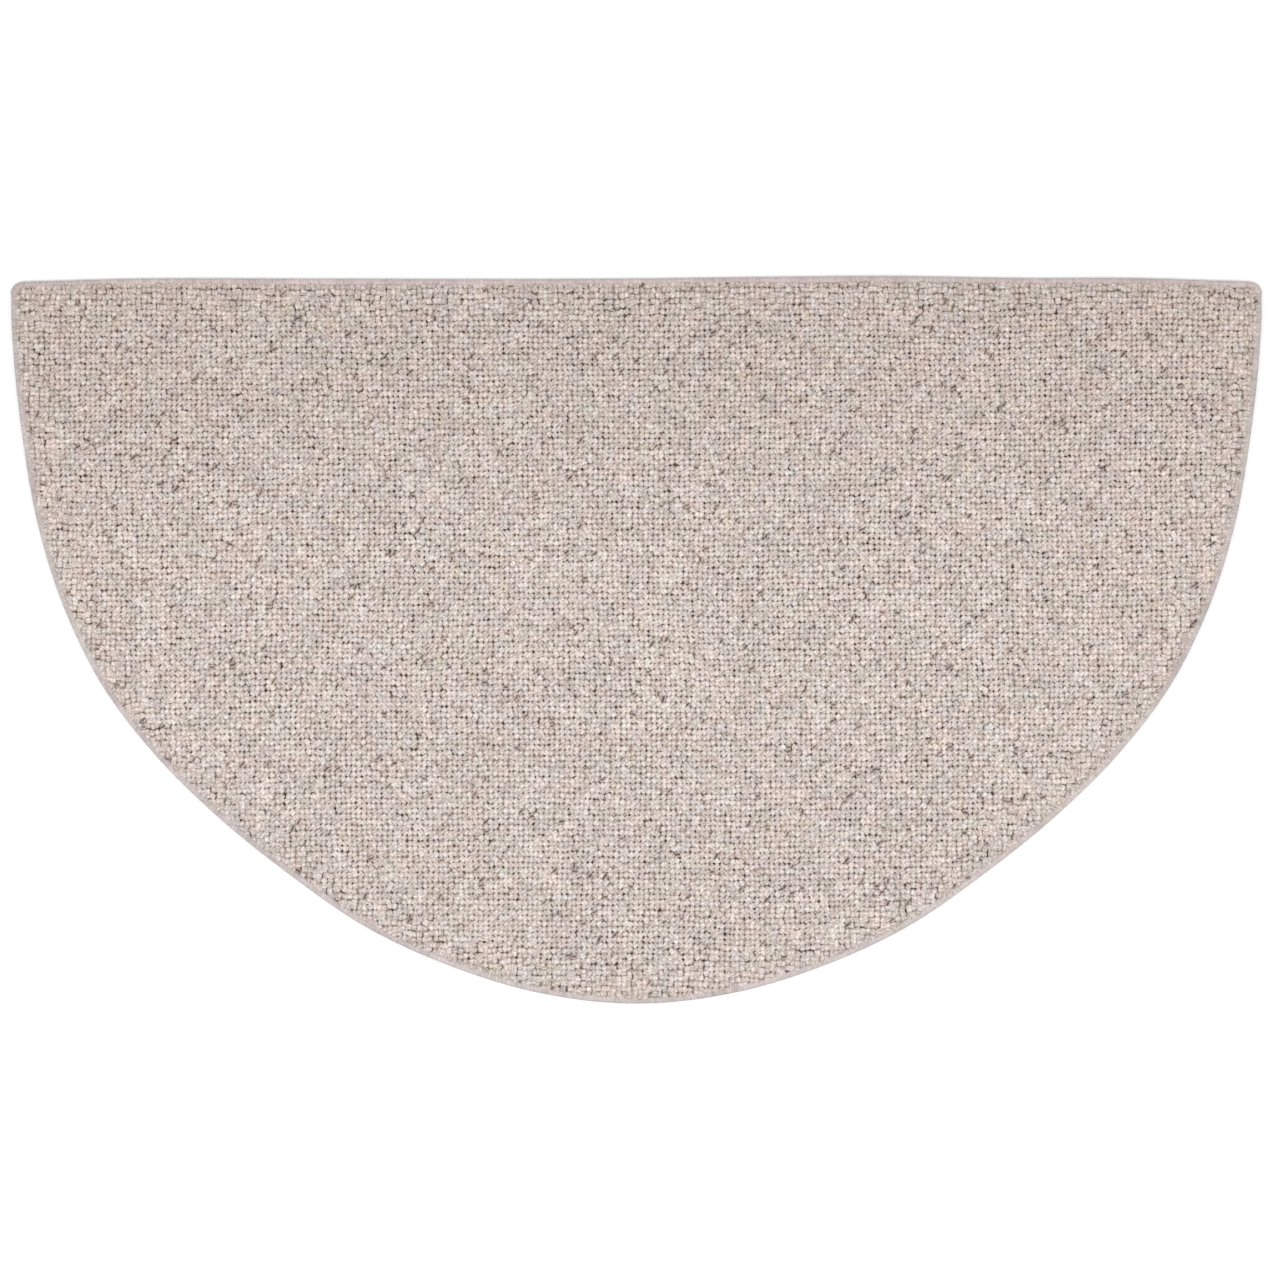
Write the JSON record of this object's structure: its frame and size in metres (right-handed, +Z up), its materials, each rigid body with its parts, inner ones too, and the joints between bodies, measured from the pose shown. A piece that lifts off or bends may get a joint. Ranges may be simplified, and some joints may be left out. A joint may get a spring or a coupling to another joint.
{
  "type": "half moon rug",
  "caption": "Half moon rug of loop-pile carpet with one straight and one curved edge, overcast with yarn all round, to lie flat at a hearth, door or bath.",
  "frame": {"origin": "on the floor, under the middle of the rug's box", "axes": "+X along the straight edge, +Y from the curved edge towards the straight edge, +Z up, out of the pile"},
  "size_m": [1.2, 0.698, 0.009],
  "materials": {
    "loop_pile": "matt heathered beige loop pile",
    "serging_yarn": "matt pinkish taupe yarn, closely wound"
  },
  "bodies": {
    "root": {"carpet": "loop_pile", "serging": "serging_yarn"}
  },
  "joints": []
}
